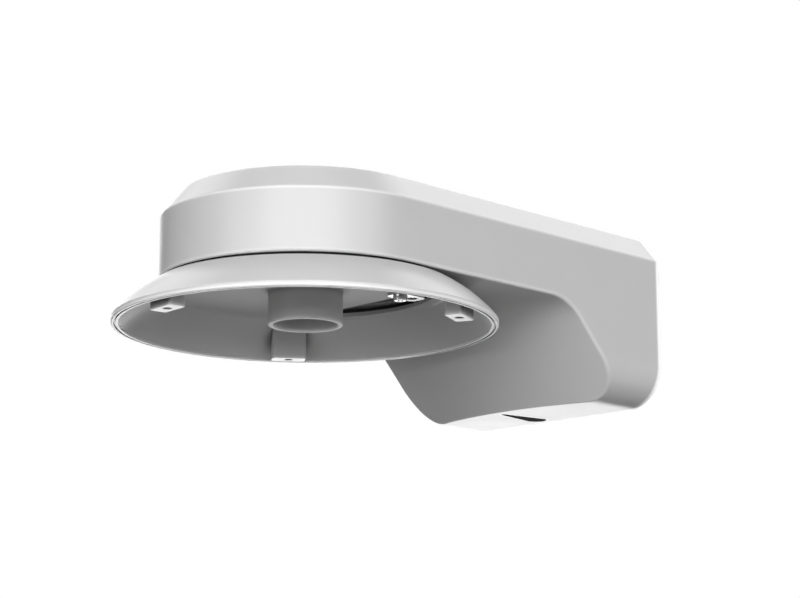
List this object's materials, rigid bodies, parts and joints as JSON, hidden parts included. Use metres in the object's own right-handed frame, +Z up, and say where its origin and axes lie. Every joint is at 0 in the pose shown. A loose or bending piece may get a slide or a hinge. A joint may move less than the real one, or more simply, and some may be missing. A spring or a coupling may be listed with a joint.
{
  "type": "camera wall bracket",
  "caption": "Hollow wall arm with a bevelled round nose, a scooped wall column and a flared open dish underneath that takes a dome camera.",
  "frame": {"origin": "centre of the wall plate's screw pattern, in the plane of the wall", "axes": "+Y into the wall, -Y along the arm to its nose, +Z up, X across"},
  "size_m": [0.16, 0.238, 0.076],
  "materials": {
    "painted_casting": "fine satin light grey powder coat on die-cast aluminium",
    "dish_casting": "fine satin light grey powder coat on die-cast aluminium",
    "black_rubber": "matt black rubber",
    "plate_steel": "zinc-plated sheet steel",
    "screw_steel": "bright stainless steel"
  },
  "bodies": {
    "root": {"arm_housing": "painted_casting", "camera_dish": "dish_casting", "dish_seal": "black_rubber", "dish_screws": "screw_steel", "wall_plate": "plate_steel", "wall_seal": "black_rubber", "lock_screw": "screw_steel", "lock_plug": "black_rubber", "lanyard_clip": "screw_steel", "lanyard_screw": "screw_steel"}
  },
  "joints": []
}
